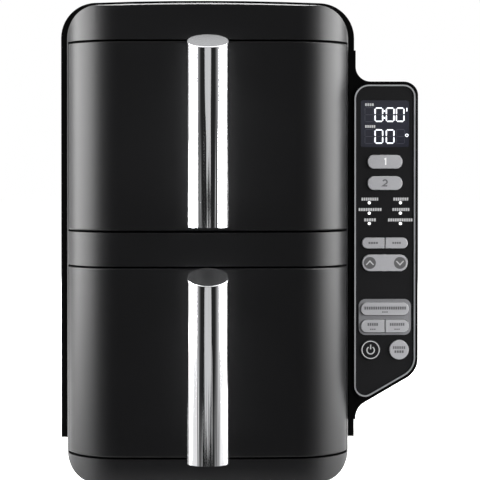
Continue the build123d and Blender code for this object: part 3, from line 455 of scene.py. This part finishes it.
# rocker: two round pads with chevrons
rocker = {"spread": 24.3, "padRadius": 4.85, "chevronHalf": 2.9, "chevronRise": 1.55, "stroke": 0.95}
x, z = middle("arrow_rocker")
pads, chevrons = [], []
for side, pointing in ((-1, 1), (1, -1)):  # the left chevron points up, the right one down
    padX = x + side * rocker["spread"] / 2
    reach, rise = rocker["chevronHalf"], rocker["chevronRise"] * pointing
    chevron = [(padX - reach, z - rise), (padX, z + rise), (padX + reach, z - rise)]
    pads.append(circle(padX, z, rocker["padRadius"]))
    chevrons.append(stroke(chevron, rocker["stroke"]))
printMarks("rocker_pads", "arrow_rocker", "arrow_button", "mid_ink", pads)
arrows = printMarks("rocker_chevrons", "arrow_rocker", "arrow_button", "pale_ink", chevrons)
for vertex in arrows.data.vertices:
    vertex.co.y -= ink["proud"] * mm  # the chevrons are printed over the pads

# power key: pale ring and the broken-ring sign, angles in degrees
power = {
    "ringInset": 0.45, "ringWidth": 0.75, "ringSteps": 64,
    "signRadius": 3.0, "signStroke": 0.95, "signGap": 34, "signDrop": 0.3, "signSteps": 40,
    "stem": (0.4, 4.2),
}
x, z = middle("power_key")
signFrom, signTo = 90 + power["signGap"], 450 - power["signGap"]
signPath = arc(x, z - power["signDrop"], power["signRadius"], signFrom, signTo, power["signSteps"])
stemHalf = power["signStroke"] / 2
stem = bar(x - stemHalf, x + stemHalf, z + power["stem"][0], z + power["stem"][1])
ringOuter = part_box("power_key")[1].x / mm - x - power["ringInset"]
ringInner = ringOuter - power["ringWidth"]
ring = [circle(x, z, radius, power["ringSteps"]) for radius in (ringOuter, ringInner)]
signs = [stroke(signPath, power["signStroke"]), stem]
printMarks("power_key_sign", "power_key", "power_button", "pale_ink", signs, [ring])
print("panel: marks printed")


# Studio
floorEdge = {"left": -5.0, "right": 5.0, "front": -0.20, "back": 9.0}  # metres
floorFinish = {"colours": ("#d8d8d8", "#dedede"), "span": (0.3, 0.7), "pattern": 40, "shown": 0.84}
cornerSides = (("left", "front"), ("right", "front"), ("right", "back"), ("left", "back"))
data = bpy.data.meshes.new("studio_floor")
corners = [(floorEdge[across], floorEdge[deep], 0) for across, deep in cornerSides]
data.from_pydata(corners, [], [(0, 1, 2, 3)])
floor = bpy.data.objects.new("studio_floor", data)
bpy.context.scene.collection.objects.link(floor)

# matt painted board: pale, white to the eye of the camera, and it keeps the shadow
material = bpy.data.materials.new("matt white board")
material.use_nodes = True
tree = material.node_tree
tree.nodes.remove(tree.nodes["Principled BSDF"])
place = addNode(tree, "TexCoord").outputs["Object"]
grainScale = 1 / (floorFinish["pattern"] * mm)
grain = addNode(tree, "TexNoise", {"Vector": place, "Scale": grainScale}).outputs["Fac"]
tint = addNode(tree, "ValToRGB", {"Fac": grain}, ramp=tuple(zip(floorFinish["span"], floorFinish["colours"])))
paint = addNode(tree, "BsdfDiffuse", {"Color": tint.outputs["Color"]}).outputs["BSDF"]
rays = addNode(tree, "LightPath").outputs
seen = addNode(tree, "Math", {0: rays["Is Camera Ray"], 1: rays["Is Glossy Ray"]}, operation="MAXIMUM")
seen = addNode(tree, "Math", {0: seen.outputs[0], 1: rays["Is Transmission Ray"]}, operation="MAXIMUM")
level = addNode(tree, "Math", {0: seen.outputs[0], 1: floorFinish["shown"]}, operation="MULTIPLY").outputs[0]
lift = addNode(tree, "Emission", {"Color": (1, 1, 1, 1), "Strength": level}).outputs["Emission"]
both = addNode(tree, "AddShader", {0: paint, 1: lift}).outputs["Shader"]
tree.links.new(both, tree.nodes["Material Output"].inputs["Surface"])
data.materials.append(material)

# surround: white to the camera and a soft fill to the object
# to gloss it is dim in front, white at the sides and grey behind, as a studio is
surround = {"fill": 0.25, "front": 0.02, "side": 1.0, "behind": 0.60, "turnFrom": -0.80, "turnTo": -0.33,
            "fadeFrom": 0.10, "fadeTo": 0.75}
world = bpy.data.worlds.new("studio")
bpy.context.scene.world = world
world.use_nodes = True
tree = world.node_tree
rays = addNode(tree, "LightPath").outputs
way = addNode(tree, "SeparateXYZ", {"Vector": addNode(tree, "TexCoord").outputs["Generated"]}).outputs["Y"]
sweep = addNode(tree, "MapRange", {
    "Value": way, "From Min": surround["turnFrom"], "From Max": surround["turnTo"],
    "To Min": surround["front"], "To Max": surround["side"]}, interpolation_type="SMOOTHSTEP")
fade = addNode(tree, "MapRange", {
    "Value": way, "From Min": surround["fadeFrom"], "From Max": surround["fadeTo"],
    "To Min": 1.0, "To Max": surround["behind"]}, interpolation_type="SMOOTHSTEP")
gloss = addNode(tree, "Math", {0: sweep.outputs["Result"], 1: fade.outputs["Result"]}, operation="MULTIPLY")
shiny = addNode(tree, "Math", {0: rays["Is Glossy Ray"], 1: rays["Is Transmission Ray"]}, operation="MAXIMUM")
onObject = addNode(tree, "Mix", {"Factor": shiny.outputs[0], "A": surround["fill"], "B": gloss.outputs[0]})
strength = addNode(tree, "Mix", {"Factor": rays["Is Camera Ray"], "A": onObject.outputs["Result"], "B": 1.0})
background = tree.nodes["Background"]
background.inputs["Color"].default_value = (1, 1, 1, 1)
tree.links.new(strength.outputs["Result"], background.inputs["Strength"])

# soft boxes: place and aim in metres, size across and up, brightness as radiance
softBoxes = {
    "left_box": {
        "place": (-1.10, -0.19, 0.48), "aim": (-0.14, -0.10, 0.22), "size": (1.14, 1.0), "radiance": 19.5},
    "right_box": {
        "place": (1.10, -0.17, 0.48), "aim": (0.09, -0.10, 0.22), "size": (1.14, 1.0), "radiance": 18.7},
    # oval, so that the bright line down each handle narrows towards its foot
    "upper_front_box": {
        "place": (-0.026, -1.75, 0.50), "aim": (-0.026, -0.17, 0.50), "size": (0.96, 0.60),
        "shape": "ELLIPSE", "radiance": 0.68},
    "lower_front_box": {
        "place": (-0.026, -1.75, -0.03), "aim": (-0.026, -0.17, -0.03), "size": (1.04, 0.40),
        "shape": "ELLIPSE", "radiance": 0.68},
    "top_box": {
        "place": (-0.026, -0.1, 1.7), "aim": (-0.026, 0.03, 0.3), "size": (1.2, 1.0), "radiance": 2.6},
    "rear_box": {
        "place": (0.15, 1.9, 0.85), "aim": (-0.026, 0.17, 0.2), "size": (1.5, 1.1), "radiance": 9.0},
}
for name, box in softBoxes.items():
    light = bpy.data.lights.new(name, "AREA")
    light.shape = box.get("shape", "RECTANGLE")
    light.size, light.size_y = box["size"]
    area = light.size * light.size_y * (math.pi / 4 if light.shape == "ELLIPSE" else 1)
    light.energy = box["radiance"] * math.pi * area
    lamp = bpy.data.objects.new(name, light)
    bpy.context.scene.collection.objects.link(lamp)
    lamp.location = box["place"]
    lamp.rotation_euler = (Vector(box["aim"]) - lamp.location).to_track_quat("-Z", "Y").to_euler()

# camera: two thirds up the body and almost level, its lens shifted down so that uprights stay upright
cameraView = {"place": (-0.0254, -1.4695, 0.2544), "pitchDown": 0.7, "turn": -1.105, "lens": 124.7,
              "sensor": 36.0, "drop": 0.1209}
camera = bpy.data.objects.new("camera", bpy.data.cameras.new("camera"))
bpy.context.scene.collection.objects.link(camera)
camera.location = cameraView["place"]
camera.rotation_euler = [math.radians(a) for a in (90 - cameraView["pitchDown"], 0, cameraView["turn"])]
camera.data.lens, camera.data.sensor_width = cameraView["lens"], cameraView["sensor"]
camera.data.shift_y = -cameraView["drop"]
bpy.context.scene.camera = camera
bpy.context.scene.view_settings.view_transform = "Standard"
print("studio: floor, surround,", len(softBoxes), "soft boxes, camera")
